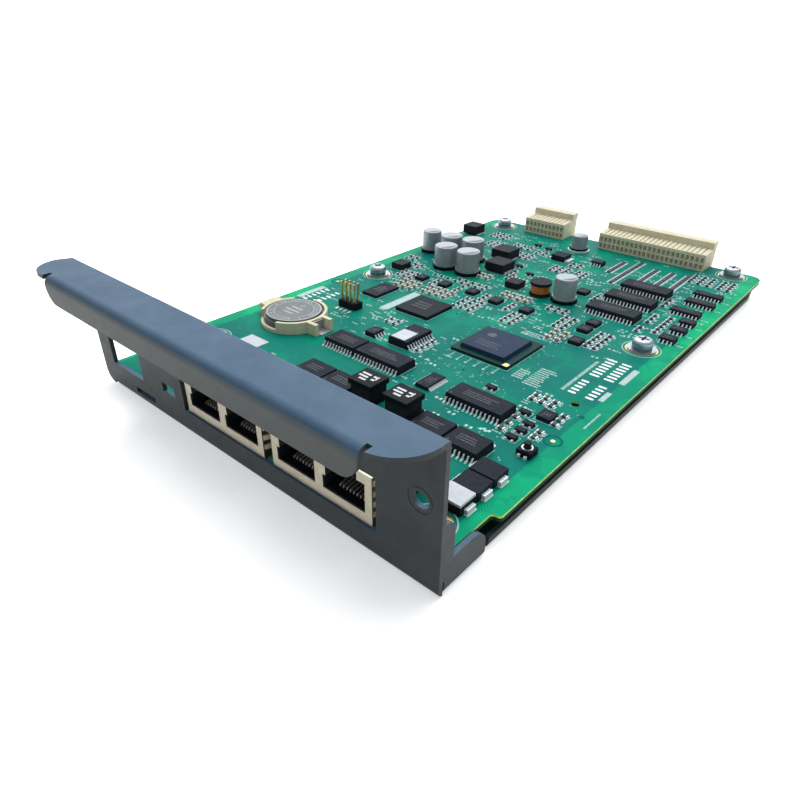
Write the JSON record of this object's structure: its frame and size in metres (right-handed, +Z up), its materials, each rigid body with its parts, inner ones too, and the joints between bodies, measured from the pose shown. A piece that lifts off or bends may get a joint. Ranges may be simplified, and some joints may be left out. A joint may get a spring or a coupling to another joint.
{
  "type": "redundant control module",
  "caption": "Plug-in control module: a green circuit board on a folded metal tray with a hooded front panel, modular jacks in front and backplane connectors at the rear.",
  "frame": {"origin": "on the tray's underside, midway along the panel's foot and 100 mm behind the panel's front face", "axes": "+X along the panel to the right seen from the front, +Y from the panel to the backplane connectors, +Z up from the tray to the parts of the board"},
  "size_m": [0.1355, 0.2246, 0.0367],
  "materials": {
    "tray_paint": "satin powder coat",
    "post_steel": "satin",
    "board_green": "glossy solder mask",
    "screw_steel": "bright zinc",
    "shell_metal": "nickel, warm",
    "black_plastic": "moulded, satin",
    "chip_plastic": "moulded epoxy, satin",
    "tinned": "matte tin",
    "gold": "bright",
    "substrate": "satin",
    "lid_metal": "satin",
    "white_plastic": "matt",
    "can_aluminium": "satin sleeve",
    "ferrite": "matt",
    "ceramic": "fired ceramic, tan",
    "copper": "enamelled wire",
    "cover_metal": "bright",
    "plunger_plastic": "satin",
    "beige_plastic": "moulded, satin",
    "cell_steel": "brushed",
    "resistor_body": "fired glass"
  },
  "bodies": {
    "module": {"backplane_connectors": "beige_plastic", "board": "board_green", "capacitor_bases": "black_plastic", "capacitor_cans": "can_aluminium", "cell_contacts": "cover_metal", "cell_holder": "beige_plastic", "ceramic_parts": "ceramic", "chip_ends": "tinned", "chip_parts": "resistor_body", "choke_feet": "tinned", "chokes": "ferrite", "coil_pack_legs": "tinned", "coil_packs": "black_plastic", "coil_windings": "ferrite", "coin_cell": "cell_steel", "connector_blades": "gold", "diodes": "chip_plastic", "drum_core": "ferrite", "drum_winding": "copper", "end_tabs": "tinned", "fine_chip": "chip_plastic", "fine_chip_leads": "tinned", "flash_chip": "chip_plastic", "flat_washers": "screw_steel", "fuse_body": "black_plastic", "fuse_cap": "white_plastic", "header_base": "black_plastic", "header_pins": "gold", "jack_inserts": "black_plastic", "jack_shells": "shell_metal", "jack_wires": "gold", "labels": "white_plastic", "memory_chip": "chip_plastic", "narrow_chip_leads": "tinned", "narrow_chips": "chip_plastic", "posts": "post_steel", "processor_base": "substrate", "processor_lid": "lid_metal", "regulator": "chip_plastic", "regulator_legs": "tinned", "resistor_networks": "resistor_body", "screws": "screw_steel", "small_chips": "chip_plastic", "spring_washers": "screw_steel", "switch_body": "black_plastic", "switch_cover": "cover_metal", "switch_legs": "tinned", "transistor_legs": "tinned", "transistors": "chip_plastic", "tray": "tray_paint", "wide_chip_leads": "tinned", "wide_chips": "chip_plastic"},
    "plunger": {"switch_plunger": "plunger_plastic"}
  },
  "joints": [
    {"name": "plunger_press", "type": "slide", "parent": "module", "child": "plunger", "axis": [0, 0, -1], "range_m": [0, 0.00025], "stiffness_N_per_m": 4000, "springref_m": -0.0001}
  ]
}
